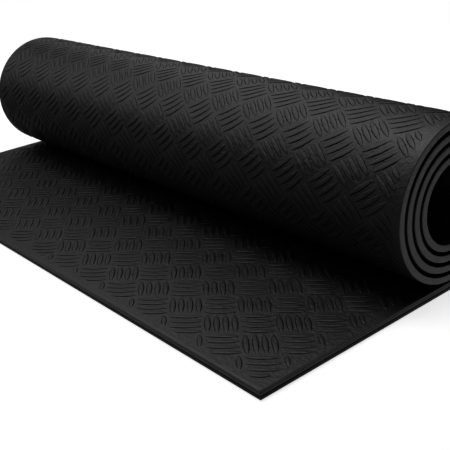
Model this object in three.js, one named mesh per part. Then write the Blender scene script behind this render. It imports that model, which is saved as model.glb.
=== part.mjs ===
// A partly unrolled electrical insulating mat: one sheet of black rubber that lies flat at its free
// edge and is wound into a loose roll at the other end. Millimetres, +Z up. X runs along the roll, Y
// runs from the free edge to the roll, and the origin is under the middle of the whole shape.
import * as THREE from "three";

// The sheet as it was cut.
const matWidth = 610;
const sheetThickness = 8;

// The flat run, from the free edge to the line where the sheet starts to rise into the roll.
const flatRun = 198;

// The roll. The bore radius is taken at the sheet's inner end, and the turns are counted from the
// flat run to that end. The turns lie on each other with a small air gap, as stiff rubber does.
const boreRadius = 25;
const rollTurns = 4.35;
const turnGap = 0.4;

// The steps of one full turn of the outline.
const stepsPerTurn = 60;

// From one turn to the next, and from the middle of the roll to the floor.
const turnPitch = sheetThickness + turnGap;
const startRadius = boreRadius + sheetThickness + turnPitch * rollTurns;

const rubber = new THREE.MeshStandardMaterial({
  name: "black_rubber",
  color: "#2b2b2c",
  roughness: 0.72,
  metalness: 0,
});

// A point of the winding in the section plane, where x runs from the free edge to the roll and y
// runs up. The turn is 0 under the roll and grows by the back, the top and the front. The depth is
// measured into the sheet, from its underside.
function windingPoint(turn, depth) {
  const angle = 2 * Math.PI * turn;
  const radius = startRadius - turnPitch * turn - depth;
  return new THREE.Vector2(radius * Math.sin(angle), startRadius - radius * Math.cos(angle));
}

// One face of the winding, from the flat run to the inner end.
function windingFace(depth) {
  const steps = Math.ceil(rollTurns * stepsPerTurn);
  const points = [];
  for (let i = 0; i <= steps; i += 1) {
    points.push(windingPoint((i / steps) * rollTurns, depth));
  }
  return points;
}

// The section of the sheet: along the underside, round the winding to the inner end, and back
// along the upper side to the free edge.
function sheetSection() {
  const underside = [new THREE.Vector2(-flatRun, 0), ...windingFace(0)];
  const upperSide = [new THREE.Vector2(-flatRun, sheetThickness), ...windingFace(sheetThickness)];
  return new THREE.Shape([...underside, ...upperSide.reverse()]);
}

// The sheet, extruded over its width and stood up so that the section's x and y are the mat's Y
// and Z.
function rubberMat() {
  const section = sheetSection();
  const geometry = new THREE.ExtrudeGeometry(section, { depth: matWidth, bevelEnabled: false });
  geometry.computeBoundingBox();
  const middle = geometry.boundingBox.getCenter(new THREE.Vector3());

  const mat = new THREE.Mesh(geometry, rubber);
  mat.name = "rubber_mat";
  const along = new THREE.Vector3(0, 1, 0);
  const up = new THREE.Vector3(0, 0, 1);
  const across = new THREE.Vector3(1, 0, 0);
  mat.setRotationFromMatrix(new THREE.Matrix4().makeBasis(along, up, across));
  mat.position.set(-middle.z, -middle.x, 0);
  return mat;
}

const insulatingMat = new THREE.Group();
insulatingMat.name = "insulating_mat";
insulatingMat.add(rubberMat());

export default insulatingMat;
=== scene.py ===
"""A partly unrolled electrical insulating mat, dressed as black rubber with a checker tread.

The mat is one sheet. It is modelled here as it was made, flat and at full length, and every point of
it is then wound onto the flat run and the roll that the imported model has. Lengths are in metres.
"""

import logging
import math
from dataclasses import dataclass
from enum import Enum
from typing import Any, Callable, Iterator, Optional

import bmesh
import bpy
from mathutils import Matrix, Vector


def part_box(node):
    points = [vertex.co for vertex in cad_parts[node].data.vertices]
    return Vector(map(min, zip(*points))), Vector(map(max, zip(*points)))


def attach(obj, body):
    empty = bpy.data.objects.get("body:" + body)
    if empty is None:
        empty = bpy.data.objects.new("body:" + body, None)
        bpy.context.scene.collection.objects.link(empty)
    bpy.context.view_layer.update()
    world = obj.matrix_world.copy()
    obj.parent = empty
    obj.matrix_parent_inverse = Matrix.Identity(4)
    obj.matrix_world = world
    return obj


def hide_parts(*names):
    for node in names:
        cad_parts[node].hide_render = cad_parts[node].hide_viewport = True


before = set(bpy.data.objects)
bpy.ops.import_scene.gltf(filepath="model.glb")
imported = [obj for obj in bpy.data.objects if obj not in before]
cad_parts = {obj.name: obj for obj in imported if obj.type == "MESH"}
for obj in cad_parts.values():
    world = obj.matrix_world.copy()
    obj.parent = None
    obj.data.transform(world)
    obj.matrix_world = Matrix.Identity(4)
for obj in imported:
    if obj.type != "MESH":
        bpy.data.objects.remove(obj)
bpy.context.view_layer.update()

LOG = logging.getLogger("insulating_mat")

MM = 0.001
BODY = "root"
NODE = "rubber_mat"

# The places of the rubber and of its painted crease shade in a piece's list of materials.
RUBBER_PLACE = 0
PAINTED_SHADE_PLACE = 1

# The photograph's frame, and the width of film that the camera's lens is stated for.
IMAGE_PIXELS = 450
FILM_WIDTH_MM = 36.0

# The place that the lights look at.
MAT_MIDDLE = Vector((0, 0, 0.05))


def linear_from_hex(colour: str) -> tuple[float, float, float, float]:
    """Turn an sRGB hex colour into Blender's linear colour.

    Args:
        colour: The colour as "#rrggbb".

    Returns:
        The linear red, green and blue, with an alpha of 1.
    """
    channels = []
    for start in (1, 3, 5):
        value = int(colour[start:start + 2], 16) / 255
        channels.append(value / 12.92 if value <= 0.04045 else ((value + 0.055) / 1.055) ** 2.4)
    return (channels[0], channels[1], channels[2], 1.0)


def add_node(
    tree: bpy.types.NodeTree,
    kind: str,
    settings: Optional[dict[str, Any]] = None,
    inputs: Optional[dict[Any, Any]] = None,
) -> bpy.types.Node:
    """Add a node, with its settings and with its inputs filled or linked.

    Args:
        tree: The node tree that gets the node.
        kind: The node's type name.
        settings: Properties of the node, by name.
        inputs: Values or output sockets, by the name or number of the input that takes them.

    Returns:
        The new node.
    """
    node = tree.nodes.new(kind)
    for name, value in (settings or {}).items():
        setattr(node, name, value)
    for name, value in (inputs or {}).items():
        if isinstance(value, bpy.types.NodeSocket):
            tree.links.new(value, node.inputs[name])
        else:
            node.inputs[name].default_value = value
    return node


def object_from_bmesh(name: str, shape: bmesh.types.BMesh) -> bpy.types.Object:
    """Turn a finished bmesh into an object of the scene, and free the bmesh.

    Args:
        name: The object's name.
        shape: The bmesh, in its final place.

    Returns:
        The object, at the origin.
    """
    mesh = bpy.data.meshes.new(name)
    shape.to_mesh(mesh)
    shape.free()
    piece = bpy.data.objects.new(name, mesh)
    bpy.context.scene.collection.objects.link(piece)
    return piece


@dataclass(frozen=True)
class WoundSheet:
    """The sheet's sizes, and the way it lies: a flat run that rises into a loose roll.

    A point of the sheet is named by x, across the width; by its run, the length along the sheet from
    the free edge; and by its height above the underside, with the tread's crests at 0 and at the
    full thickness. The sheet is moulded with one relief all over. Where it lies, each face of the
    flat run gets its own relief, and the roll's sheet is thinned on its inner side.
    """

    width: float
    free_edge: float
    flat_run: float = 198 * MM
    thickness: float = 8 * MM
    turn_gap: float = 0.4 * MM
    bore_radius: float = 25 * MM
    turns: float = 4.35
    relief: float = 0.5 * MM
    flat_upper_relief: float = 0.55 * MM
    flat_under_relief: float = 0.15 * MM
    thinning: float = 1.6 * MM
    settling_length: float = 50 * MM
    border: float = 7 * MM

    @property
    def turn_pitch(self) -> float:
        """The distance from one turn to the next."""
        return self.thickness + self.turn_gap

    @property
    def start_radius(self) -> float:
        """The underside's radius where the sheet leaves the flat run."""
        return self.bore_radius + self.thickness + self.turn_pitch * self.turns

    @property
    def axis(self) -> float:
        """The roll's axis along Y."""
        return self.free_edge + self.flat_run

    def run_at(self, turn: float) -> float:
        """Return the run where the sheet's middle layer has made so many turns.

        Args:
            turn: The turns, counted from the end of the flat run.

        Returns:
            The run, from the free edge.
        """
        angle = 2 * math.pi * turn
        middle_radius = self.start_radius - self.thickness / 2
        fall = self.turn_pitch / (2 * math.pi)
        return self.flat_run + middle_radius * angle - fall * angle * angle / 2

    @property
    def length(self) -> float:
        """The sheet's full length."""
        return self.run_at(self.turns)

    def flatness(self, run: float) -> float:
        """Return 1 on the flat run and 0 on the roll, with a smooth change where the sheet rises."""
        share = min(max((run - self.flat_run) / self.settling_length, 0.0), 1.0)
        return 1 - share * share * (3 - 2 * share)

    def settled(self, run: float, height: float) -> float:
        """Move a height to where it lies: the wound sheet is drawn thinner than the flat run.

        Args:
            run: The point's run.
            height: Its height in the sheet as it was moulded, with the same relief all over.

        Returns:
            Its height in the sheet as it lies.
        """
        flatness = self.flatness(run)
        under = self.relief + (self.flat_under_relief - self.relief) * flatness
        upper = self.relief + (self.flat_upper_relief - self.relief) * flatness
        crest = self.thickness - self.thinning * (1 - flatness)
        below_top = self.thickness - height
        if height < self.relief:
            return height * under / self.relief
        if below_top < self.relief:
            return crest - below_top * upper / self.relief
        share = (height - self.relief) / (self.thickness - 2 * self.relief)
        return under + share * (crest - upper - under)

    def place(self, point: Vector) -> Vector:
        """Wind a point of the flat sheet to where it lies.

        Args:
            point: The point's x, run and height.

        Returns:
            Its place in the model's frame.
        """
        run = point.y
        height = self.settled(run, point.z)
        if run <= self.flat_run:
            return Vector((point.x, self.free_edge + run, height))
        middle_radius = self.start_radius - self.thickness / 2
        fall = self.turn_pitch / (2 * math.pi)
        inside = middle_radius * middle_radius - 2 * fall * (run - self.flat_run)
        angle = (middle_radius - math.sqrt(inside)) / fall
        radius = self.start_radius - fall * angle - height
        along = self.axis + radius * math.sin(angle)
        return Vector((point.x, along, self.start_radius - radius * math.cos(angle)))


@dataclass(frozen=True)
class EdgeGroove:
    """The shallow line that the slitting knife and the mould's lip leave round the cut edge."""

    height: float
    half_width: float
    depth: float


@dataclass
class SheetBody:
    """The sheet under its tread: its two plain faces and its cut edges.

    The grooves get the darker, duller crease finish, which is painted shade, where the sheet is
    flatter than a set flatness.
    """

    sheet: WoundSheet
    arris_radius: float = 0.65 * MM
    arris_segments: int = 3
    step_length: float = 2.6 * MM
    cut_tolerance: float = 0.01 * MM
    painted_shade_flatness: float = 0.5
    grooves: tuple[EdgeGroove, ...] = (
        EdgeGroove(3.3 * MM, 0.4 * MM, 0.5 * MM),
        EdgeGroove(6.0 * MM, 0.2 * MM, 0.2 * MM),
    )

    def build(self) -> bpy.types.Object:
        """Build the sheet flat, and wind it.

        Returns:
            The sheet's object.
        """
        shape = self.flat_slab()
        self.add_groove_lines(shape)
        self.divide_length(shape)
        self.cut_grooves(shape)
        write_developed_map(shape)
        for vertex in shape.verts:
            vertex.co = self.sheet.place(vertex.co)
        for face in shape.faces:
            face.smooth = True
        shape.normal_update()
        return object_from_bmesh("sheet_body", shape)

    def flat_slab(self) -> bmesh.types.BMesh:
        """Make the flat slab, between the roots of both treads, with its arrises rounded.

        Returns:
            The slab.
        """
        sheet = self.sheet
        slab = bmesh.new()
        bmesh.ops.create_cube(slab, size=1.0)
        size = (sheet.width, sheet.length, sheet.thickness - 2 * sheet.relief)
        bmesh.ops.scale(slab, vec=size, verts=slab.verts)
        bmesh.ops.translate(slab, vec=(0, sheet.length / 2, sheet.thickness / 2), verts=slab.verts)
        bmesh.ops.bevel(
            slab,
            geom=slab.edges[:],
            offset=self.arris_radius,
            offset_type="OFFSET",
            segments=self.arris_segments,
            profile=0.5,
            affect="EDGES",
            material=-1,
        )
        return slab

    def add_groove_lines(self, slab: bmesh.types.BMesh) -> None:
        """Add the lines of each groove to the slab's four edge faces.

        Args:
            slab: The flat slab, which is changed.
        """
        for groove in self.grooves:
            for offset in (-groove.half_width, 0.0, groove.half_width):
                bmesh.ops.bisect_plane(
                    slab,
                    geom=slab.verts[:] + slab.edges[:] + slab.faces[:],
                    dist=self.cut_tolerance,
                    plane_co=(0, 0, groove.height + offset),
                    plane_no=(0, 0, 1),
                )

    def cut_grooves(self, slab: bmesh.types.BMesh) -> None:
        """Sink the middle line of each groove, less and less where the sheet rises into the roll.

        Args:
            slab: The flat slab, which is changed.
        """
        for groove in self.grooves:
            for vertex in slab.verts:
                if abs(vertex.co.z - groove.height) > groove.half_width / 2:
                    continue
                depth = groove.depth * self.sheet.flatness(vertex.co.y)
                vertex.co.x -= math.copysign(depth, vertex.co.x)
                if vertex.co.y < self.arris_radius:
                    vertex.co.y += depth
            # Faces in the grooves of the flat run get the darker crease finish: a painted shade line
            # along the cut edge.
            for face in slab.faces:
                middle = face.calc_center_median()
                in_groove = abs(middle.z - groove.height) < groove.half_width
                if in_groove and self.sheet.flatness(middle.y) > self.painted_shade_flatness:
                    face.material_index = PAINTED_SHADE_PLACE

    def divide_length(self, slab: bmesh.types.BMesh) -> None:
        """Divide the slab along its length, finely enough to wind smoothly.

        Args:
            slab: The flat slab, which is changed.
        """
        long_edges = [e for e in slab.edges if e.calc_length() > self.sheet.length / 2]
        cuts = math.ceil(self.sheet.length / self.step_length)
        bmesh.ops.subdivide_edges(slab, edges=long_edges, cuts=cuts, use_grid_fill=True)


def write_developed_map(shape: bmesh.types.BMesh) -> None:
    """Give a flat piece a UV map of its x and run in metres, which follows the sheet when it winds.

    Args:
        shape: The piece, still flat.
    """
    layer = shape.loops.layers.uv.new("developed")
    for face in shape.faces:
        for loop in face.loops:
            loop[layer].uv = (loop.vert.co.x, loop.vert.co.y)


class Side(Enum):
    """The two faces of the sheet."""

    UPPER = "upper"
    UNDER = "under"


# A bar's section at its middle, from side to side, as shares of its half width and its height. The
# strips between its points are counted from 0, and the top strips are the bar's crest; the others,
# the flanks and the skirt, get the painted crease shade.
BAR_SECTION = (
    (-1.45, -0.12),
    (-1.00, 0.16),
    (-0.92, 0.85),
    (-0.72, 1.00),
    (0.72, 1.00),
    (0.92, 0.85),
    (1.00, 0.16),
    (1.45, -0.12),
)
TOP_STRIPS = range(2, 5)


@dataclass(frozen=True)
class Bar:
    """One bar of the tread, on the flat sheet: its two tips, as x and run, and its width."""

    start: Vector
    end: Vector
    width: float


@dataclass
class Tread:
    """The checker tread of one face: diamond cells, each with a few long oval bars along one side.

    The cells lie on a diagonal lattice, whose two steps are the sides of a cell, as x and run. The
    bars of one cell run along the first side, and those of the cells beside it along the second.
    The start and end are the runs between which the cells' middles lie. The powers say how a bar's
    outline and crest fall off towards its tips, and how a bar that is cut short narrows.
    """

    name: str
    sheet: WoundSheet
    side: Side
    first_side: Vector
    second_side: Vector
    first_cell: Vector
    start: float
    end: float
    bars_per_cell: int = 4
    bar_spacing_share: float = 0.255
    bar_length_share: float = 0.95
    bar_width: float = 4.1 * MM
    least_length: float = 12 * MM
    length_steps: int = 6
    outline_power: float = 0.75
    crest_reach_power: int = 4
    crest_power: float = 0.5
    cut_width_power: float = 0.3
    tip_tolerance: float = 0.0001

    def build(self) -> bpy.types.Object:
        """Build the bars as closed shells of one mesh, and wind them.

        Returns:
            The tread's object.
        """
        shape = bmesh.new()
        pattern = self.bar_mesh()
        for bar in self.bars():
            self.add_bar(shape, pattern, bar)
        bpy.data.meshes.remove(pattern)
        write_developed_map(shape)
        for vertex in shape.verts:
            vertex.co = self.sheet.place(vertex.co)
        if self.side is Side.UNDER:
            bmesh.ops.reverse_faces(shape, faces=shape.faces)
        shape.normal_update()
        return object_from_bmesh(self.name, shape)

    def bar_mesh(self) -> bpy.types.Mesh:
        """Make the mesh that every bar is a stretched copy of.

        Returns:
            A flat-topped oval 1 long and 1 wide, from its foot at height 0 to its crest at 1. The
            skirt round it runs out under the sheet's face, and is closed there.
        """
        oval = bmesh.new()
        strips = len(BAR_SECTION) - 1
        bmesh.ops.create_grid(oval, x_segments=self.length_steps, y_segments=strips, size=1.0)
        # The crest strips get the rubber; the flanks and the skirt get the darker crease finish,
        # painted shade along the bar's foot.
        for face in oval.faces:
            strip = int((face.calc_center_median().y + 1) / 2 * strips)
            face.material_index = RUBBER_PLACE if strip in TOP_STRIPS else PAINTED_SHADE_PLACE
            face.smooth = True
        for vertex in oval.verts:
            along = math.sin(vertex.co.x * math.pi / 2)
            across, height = BAR_SECTION[round((vertex.co.y + 1) / 2 * strips)]
            half_width = 0.5 * max(1 - along * along, 0.0) ** self.outline_power
            if height > 0:
                height *= max(1 - along ** self.crest_reach_power, 0.0) ** self.crest_power
            vertex.co = Vector((along / 2, half_width * across, height))
        bmesh.ops.remove_doubles(oval, verts=oval.verts, dist=self.tip_tolerance)
        rim = [edge for edge in oval.edges if edge.is_boundary]
        for edge in rim:
            edge.smooth = False
        bmesh.ops.contextual_create(oval, geom=rim)
        bmesh.ops.recalc_face_normals(oval, faces=oval.faces)
        mesh = bpy.data.meshes.new("bar")
        oval.to_mesh(mesh)
        oval.free()
        return mesh

    def add_bar(self, shape: bmesh.types.BMesh, pattern: bpy.types.Mesh, bar: Bar) -> None:
        """Add one bar to the flat tread.

        Args:
            shape: The tread, which is changed.
            pattern: The mesh of one bar.
            bar: The bar's place.
        """
        along = bar.end - bar.start
        sheet = self.sheet
        turn = Matrix.Rotation(math.atan2(along.y, along.x), 4, "Z")
        middle = (bar.start + bar.end) / 2
        if self.side is Side.UPPER:
            root = sheet.thickness - sheet.relief
            stretch = Matrix.Diagonal((along.length, bar.width, sheet.relief, 1))
        else:
            root = sheet.relief
            stretch = Matrix.Diagonal((along.length, bar.width, -sheet.relief, 1))
        copy = pattern.copy()
        copy.transform(Matrix.Translation((middle.x, middle.y, root)) @ turn @ stretch)
        shape.from_mesh(copy)
        bpy.data.meshes.remove(copy)

    def bars(self) -> Iterator[Bar]:
        """Give the bars of every cell of the runs, cut off at the mat's plain border.

        Returns:
            The bars, one by one.
        """
        reach = self.sheet.width / 2 + self.first_side.length
        least_step = min(abs(self.first_side.y), abs(self.second_side.y))
        count = math.ceil(2 * self.sheet.length / least_step)
        for first in range(-count, count + 1):
            for second in range(-count, count + 1):
                middle = self.first_cell + first * self.first_side + second * self.second_side
                if abs(middle.x) < reach and self.start <= middle.y < self.end:
                    yield from self.cell_bars(middle, along_first=(first + second) % 2 == 0)

    def cell_bars(self, middle: Vector, along_first: bool) -> Iterator[Bar]:
        """Give the bars of one cell.

        Args:
            middle: The cell's middle.
            along_first: Whether the bars run along the lattice's first side, not its second.

        Returns:
            The bars, one by one.
        """
        sides = (self.first_side, self.second_side)
        along, across = sides if along_first else sides[::-1]
        for index in range(self.bars_per_cell):
            share = (index - (self.bars_per_cell - 1) / 2) * self.bar_spacing_share
            centre = middle + across * share
            reach = along * (self.bar_length_share / 2)
            bar = self.inside_border(centre - reach, centre + reach)
            if bar is not None:
                yield bar

    def inside_border(self, start: Vector, end: Vector) -> Optional[Bar]:
        """Shorten a bar to the part of it that lies inside the plain border.

        Args:
            start: The bar's first tip.
            end: Its other tip.

        Returns:
            The bar, or None where too little of it is left.
        """
        sheet = self.sheet
        low = Vector((-sheet.width / 2 + sheet.border, sheet.border))
        high = Vector((sheet.width / 2 - sheet.border, sheet.length - sheet.border))
        first, last = 0.0, 1.0
        along = end - start
        for axis in range(2):
            to_low = (low[axis] - start[axis]) / along[axis]
            to_high = (high[axis] - start[axis]) / along[axis]
            first = max(first, min(to_low, to_high))
            last = min(last, max(to_low, to_high))
        left = last - first
        if left * along.length < self.least_length:
            return None
        width = self.bar_width * left ** self.cut_width_power
        return Bar(start + along * first, start + along * last, width)


@dataclass(frozen=True)
class VulcanisedRubber:
    """Black rubber, calendered between engraved rolls and vulcanised in the sheet.

    Carbon black makes it nearly black all through. The press leaves a fine even grain with a faint
    gloss on it, so what the eye sees is mostly a broad soft highlight, and the pale bloom and dust
    that every rubber sheet carries. The mottle and the streaks are added up, and the bloom is paler
    where their sum is high. The pressed grain of such rubber is about 0.2 mm, too fine to show here,
    so it is drawn coarser.
    """

    name: str = "black_vulcanised_rubber"
    shade: str = "#060606"
    bloom: str = "#121212"
    ior: float = 1.5
    roughness_low: float = 0.38
    roughness_high: float = 0.50
    ripple_size: float = 3.5 * MM
    ripple_depth: float = 0.60 * MM
    grain_size: float = 1.2 * MM
    grain_depth: float = 0.25 * MM
    mottle_size: float = 7 * MM
    streak_width: float = 5 * MM
    streak_length: float = 90 * MM
    streak_share: float = 0.5
    bloom_from: float = 0.45
    bloom_to: float = 1.05

    def build(self) -> bpy.types.Material:
        """Build the material.

        Returns:
            The material.
        """
        material = bpy.data.materials.new(self.name)
        material.use_nodes = True
        tree = material.node_tree
        tree.nodes.clear()
        place = add_node(tree, "ShaderNodeTexCoord")
        mottle = add_node(
            tree,
            "ShaderNodeTexNoise",
            inputs={
                "Vector": place.outputs["Object"],
                "Scale": 1 / self.mottle_size,
                "Detail": 4.0,
                "Roughness": 0.6,
            },
        )
        streaks = self.streaks(tree)
        patches = add_node(
            tree,
            "ShaderNodeMath",
            settings={"operation": "MULTIPLY_ADD"},
            inputs={0: streaks, 1: self.streak_share, 2: mottle.outputs["Fac"]},
        )
        share = add_node(
            tree,
            "ShaderNodeMapRange",
            inputs={
                "Value": patches.outputs[0],
                "From Min": self.bloom_from,
                "From Max": self.bloom_to,
            },
        )
        colour = add_node(
            tree,
            "ShaderNodeMix",
            settings={"data_type": "RGBA"},
            inputs={
                0: share.outputs["Result"],
                6: linear_from_hex(self.shade),
                7: linear_from_hex(self.bloom),
            },
        )
        roughness = add_node(
            tree,
            "ShaderNodeMapRange",
            inputs={
                "Value": share.outputs["Result"],
                "To Min": self.roughness_low,
                "To Max": self.roughness_high,
            },
        )
        shader = add_node(
            tree,
            "ShaderNodeBsdfPrincipled",
            inputs={
                "Base Color": colour.outputs[2],
                "Roughness": roughness.outputs["Result"],
                "IOR": self.ior,
                "Normal": self.grain(tree, place.outputs["Object"]),
            },
        )
        add_node(tree, "ShaderNodeOutputMaterial", inputs={"Surface": shader.outputs["BSDF"]})
        return material

    def streaks(self, tree: bpy.types.NodeTree) -> bpy.types.NodeSocket:
        """Add the faint streaks that the rolls draw out along the sheet.

        Args:
            tree: The material's node tree.

        Returns:
            The streaks' strength, from 0 to 1.
        """
        developed = add_node(tree, "ShaderNodeUVMap", settings={"uv_map": "developed"})
        stretch = add_node(
            tree,
            "ShaderNodeMapping",
            inputs={
                "Vector": developed.outputs["UV"],
                "Scale": (1 / self.streak_width, 1 / self.streak_length, 1.0),
            },
        )
        noise = add_node(
            tree,
            "ShaderNodeTexNoise",
            inputs={"Vector": stretch.outputs["Vector"], "Scale": 1.0, "Detail": 3.0},
        )
        return noise.outputs["Fac"]

    def grain(
        self, tree: bpy.types.NodeTree, place: bpy.types.NodeSocket
    ) -> bpy.types.NodeSocket:
        """Add the soft ripple and the pressed grain, as two bumps on each other.

        Args:
            tree: The material's node tree.
            place: The object coordinates.

        Returns:
            The bumped normal.
        """
        below: dict[Any, Any] = {}
        bumps = ((self.ripple_size, self.ripple_depth), (self.grain_size, self.grain_depth))
        for size, depth in bumps:
            noise = add_node(
                tree,
                "ShaderNodeTexNoise",
                inputs={"Vector": place, "Scale": 1 / size, "Detail": 3.0, "Roughness": 0.6},
            )
            bump = add_node(
                tree,
                "ShaderNodeBump",
                inputs={"Strength": 1.0, "Distance": depth, "Height": noise.outputs["Fac"], **below},
            )
            below = {"Normal": bump.outputs["Normal"]}
        return bump.outputs["Normal"]


@dataclass(frozen=True)
class PaintedCreaseShade:
    """Darker, duller black for the feet and flanks of the bars and the lines of the cut edge:
    painted shade in these creases, from a darker shade and a low specular level. It is rougher there
    too.
    """

    name: str = "black_rubber_painted_crease_shade"
    shade: str = "#020202"
    roughness: float = 0.9
    specular: float = 0.12

    def build(self) -> bpy.types.Material:
        """Build the material.

        Returns:
            The material.
        """
        material = bpy.data.materials.new(self.name)
        material.use_nodes = True
        tree = material.node_tree
        tree.nodes.clear()
        shader = add_node(
            tree,
            "ShaderNodeBsdfPrincipled",
            inputs={
                "Base Color": linear_from_hex(self.shade),
                "Roughness": self.roughness,
                "Specular IOR Level": self.specular,
            },
        )
        add_node(tree, "ShaderNodeOutputMaterial", inputs={"Surface": shader.outputs["BSDF"]})
        return material


@dataclass(frozen=True)
class LitAcrylic:
    """White acrylic sheet lit from behind, as on a light table, so it prints as clean white."""

    name: str = "backlit_white_acrylic"
    shade: str = "#e7e7e7"
    glow: float = 0.68

    def build(self) -> bpy.types.Material:
        """Build the material.

        Returns:
            The material.
        """
        material = bpy.data.materials.new(self.name)
        material.use_nodes = True
        tree = material.node_tree
        tree.nodes.clear()
        shader = add_node(
            tree,
            "ShaderNodeBsdfPrincipled",
            inputs={
                "Base Color": linear_from_hex(self.shade),
                "Roughness": 1.0,
                "Specular IOR Level": 0.0,
                "Emission Color": linear_from_hex("#ffffff"),
                "Emission Strength": self.glow,
            },
        )
        add_node(tree, "ShaderNodeOutputMaterial", inputs={"Surface": shader.outputs["BSDF"]})
        return material


@dataclass(frozen=True)
class SoftLight:
    """A square soft light that points at the mat.

    Its azimuth is counted from +X towards +Y, and its elevation up from the floor, in degrees.
    """

    name: str
    azimuth: float
    elevation: float
    size: float
    watts: float
    distance: float = 2.0

    def build(self) -> None:
        """Add the light to the scene."""
        azimuth, elevation = math.radians(self.azimuth), math.radians(self.elevation)
        level = math.cos(elevation)
        towards = Vector((
            math.cos(azimuth) * level,
            math.sin(azimuth) * level,
            math.sin(elevation),
        ))
        data = bpy.data.lights.new(self.name, "AREA")
        data.shape = "SQUARE"
        data.size = self.size
        data.energy = self.watts
        light = bpy.data.objects.new(self.name, data)
        light.location = MAT_MIDDLE + towards * self.distance
        light.rotation_euler = towards.to_track_quat("Z", "Y").to_euler()
        light.visible_camera = False
        bpy.context.scene.collection.objects.link(light)


@dataclass(frozen=True)
class FloorBounce:
    """The light that a part of the pale floor throws back up at the mat."""

    name: str
    place: Vector
    size: tuple[float, float]
    watts: float

    def build(self) -> None:
        """Add the light to the scene, just over the floor and facing up."""
        data = bpy.data.lights.new(self.name, "AREA")
        data.shape = "RECTANGLE"
        data.size, data.size_y = self.size
        data.energy = self.watts
        light = bpy.data.objects.new(self.name, data)
        light.location = self.place
        light.rotation_euler = (math.pi, 0, 0)
        light.visible_camera = False
        bpy.context.scene.collection.objects.link(light)


@dataclass
class Studio:
    """The white floor and surround, the soft lights and the camera.

    The camera's heading is counted from +Y towards +X, its dip down from level, and its tilt about
    its line of sight, in radians.
    """

    floor_radius: float = 1.0
    reach: float = 6.0
    fill: float = 0.0664
    focal_pixels: float = 827.507
    camera_place: Vector = Vector((0.63526, -0.41134, 0.30616))
    heading: float = -0.900077
    dip: float = 0.404
    tilt: float = -0.083375
    lights: tuple[SoftLight, ...] = (
        SoftLight("overhead_light", azimuth=0, elevation=89.9, size=0.9, watts=13, distance=1.8),
        SoftLight("left_front_light", azimuth=-150, elevation=38, size=1.2, watts=5.4),
        SoftLight("high_left_light", azimuth=178, elevation=56, size=0.8, watts=2.6),
        SoftLight("left_back_light", azimuth=140, elevation=35, size=1.2, watts=2.7),
    )
    bounces: tuple[FloorBounce, ...] = (
        FloorBounce("right_floor_bounce", Vector((0.75, 0.15, 0.002)), (0.8, 0.8), 1.1),
        FloorBounce("right_edge_bounce", Vector((0.325, -0.01, 0.001)), (0.035, 0.26), 0.012),
        FloorBounce("free_edge_bounce", Vector((0, -0.153, 0.001)), (0.62, 0.035), 0.035),
    )

    def build(self) -> None:
        """Build the whole studio."""
        self.add_backdrop("floor", self.flat_floor(), LitAcrylic().build())
        cloth = LitAcrylic(name="backlit_white_tent_cloth", shade="#000000", glow=1.0)
        self.add_backdrop("tent", self.round_tent(), cloth.build())
        self.add_fill()
        for light in self.lights + self.bounces:
            light.build()
        self.add_camera()

    def flat_floor(self) -> bmesh.types.BMesh:
        """Make the floor, level with the mat's underside."""
        shape = bmesh.new()
        bmesh.ops.create_circle(shape, cap_ends=True, segments=96, radius=self.floor_radius)
        return shape

    def round_tent(self) -> bmesh.types.BMesh:
        """Make the white tent that stands round the studio."""
        shape = bmesh.new()
        bmesh.ops.create_icosphere(shape, subdivisions=4, radius=self.reach)
        return shape

    def add_backdrop(
        self, name: str, shape: bmesh.types.BMesh, finish: bpy.types.Material
    ) -> None:
        """Add one white background, which the camera sees and which throws no light on the mat.

        Args:
            name: The background's name.
            shape: Its shape.
            finish: Its material.
        """
        backdrop = object_from_bmesh(name, shape)
        backdrop.data.materials.append(finish)
        backdrop.visible_diffuse = False
        backdrop.visible_glossy = False
        backdrop.visible_shadow = False

    def add_fill(self) -> None:
        """Add a weak even light from all round."""
        world = bpy.data.worlds.new("dim_surround")
        world.use_nodes = True
        background = world.node_tree.nodes["Background"]
        background.inputs["Color"].default_value = linear_from_hex("#ffffff")
        background.inputs["Strength"].default_value = self.fill
        bpy.context.scene.world = world
        bpy.context.scene.view_settings.view_transform = "Standard"

    def add_camera(self) -> None:
        """Add the camera at the photograph's place."""
        forward = Vector((
            math.sin(self.heading) * math.cos(self.dip),
            math.cos(self.heading) * math.cos(self.dip),
            -math.sin(self.dip),
        ))
        level_right = Vector((math.cos(self.heading), -math.sin(self.heading), 0))
        level_up = level_right.cross(forward)
        right = math.cos(self.tilt) * level_right + math.sin(self.tilt) * level_up
        up = right.cross(forward)
        data = bpy.data.cameras.new("camera")
        data.sensor_width = FILM_WIDTH_MM
        data.lens = self.focal_pixels / IMAGE_PIXELS * FILM_WIDTH_MM
        data.clip_start = 10 * MM
        data.clip_end = 4 * self.reach
        camera = bpy.data.objects.new("camera", data)
        turn = Matrix((right, up, -forward)).transposed().to_4x4()
        camera.matrix_world = Matrix.Translation(self.camera_place) @ turn
        bpy.context.scene.collection.objects.link(camera)
        bpy.context.scene.camera = camera


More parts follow.
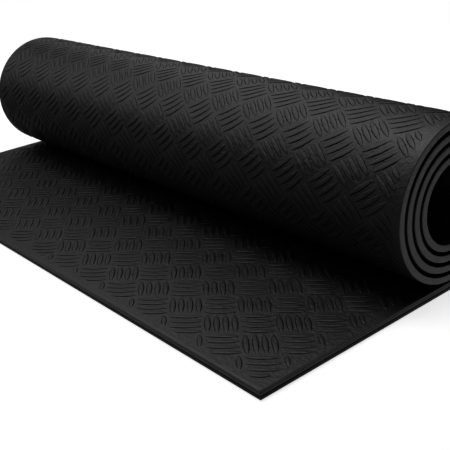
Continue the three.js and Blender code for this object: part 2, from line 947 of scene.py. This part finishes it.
@dataclass
class InsulatingMat:
    """The whole mat: the sheet and the tread on each of its faces.

    The cell reach is how far past the sheet's ends the middle of a cell may lie. The turns say how
    far the tread goes: into the rise of the flat run, round the outer turn and along the bore.
    """

    sheet: WoundSheet
    cell_reach: float = 30 * MM
    rising_turns: float = 0.06
    outer_turns: float = 1.03
    bore_turns: float = 1.1

    def upper_tread(self, name: str, start: float, end: float) -> Tread:
        """Return a stretch of the upper face's tread.

        Args:
            name: The name of the piece.
            start: The run where the stretch starts.
            end: The run where it ends.

        Returns:
            The stretch of tread.
        """
        return Tread(
            name=name,
            sheet=self.sheet,
            side=Side.UPPER,
            first_side=Vector((19.1 * MM, 17.8 * MM)),
            second_side=Vector((-22.1 * MM, 17.3 * MM)),
            first_cell=Vector((245.3 * MM, 20.1 * MM)),
            start=start,
            end=end,
        )

    def under_tread(self, name: str, start: float, end: float) -> Tread:
        """Return a stretch of the underside's tread.

        Args:
            name: The name of the piece.
            start: The run where the stretch starts.
            end: The run where it ends.

        Returns:
            The stretch of tread.
        """
        return Tread(
            name=name,
            sheet=self.sheet,
            side=Side.UNDER,
            first_side=Vector((-20.4 * MM, 15.3 * MM)),
            second_side=Vector((20.4 * MM, 15.3 * MM)),
            first_cell=Vector((70.5 * MM, 445.5 * MM)),
            start=start,
            end=end,
        )

    def treads(self) -> list[Tread]:
        """List the tread where it lies open: the flat run, the outer turn and the bore.

        Returns:
            The stretches of tread.
        """
        sheet = self.sheet
        before, after = -self.cell_reach, sheet.length + self.cell_reach
        return [
            self.upper_tread("flat_upper_tread", before, sheet.run_at(self.rising_turns)),
            self.upper_tread("bore_tread", sheet.run_at(sheet.turns - self.bore_turns), after),
            self.under_tread("flat_under_tread", before, sheet.flat_run),
            self.under_tread("outer_turn_tread", sheet.flat_run, sheet.run_at(self.outer_turns)),
        ]

    def build(self) -> None:
        """Build the pieces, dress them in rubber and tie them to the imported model."""
        rubber = VulcanisedRubber().build()
        # The second finish is darker, duller rubber that paints shade into the creases.
        crease_shade = PaintedCreaseShade().build()
        makers: list[Callable[[], bpy.types.Object]] = [SheetBody(self.sheet).build]
        makers += [tread.build for tread in self.treads()]
        for make in makers:
            piece = make()
            piece.data.materials.append(rubber)
            piece.data.materials.append(crease_shade)
            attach(piece, BODY)
            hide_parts(NODE)
            LOG.info("%s: %d faces", piece.name, len(piece.data.polygons))


def main() -> None:
    """Build the mat and its studio."""
    logging.basicConfig(level=logging.INFO, format="%(name)s: %(message)s")
    low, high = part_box(NODE)
    InsulatingMat(WoundSheet(width=high[0] - low[0], free_edge=low[1])).build()
    Studio().build()


if __name__ == "__main__":
    main()
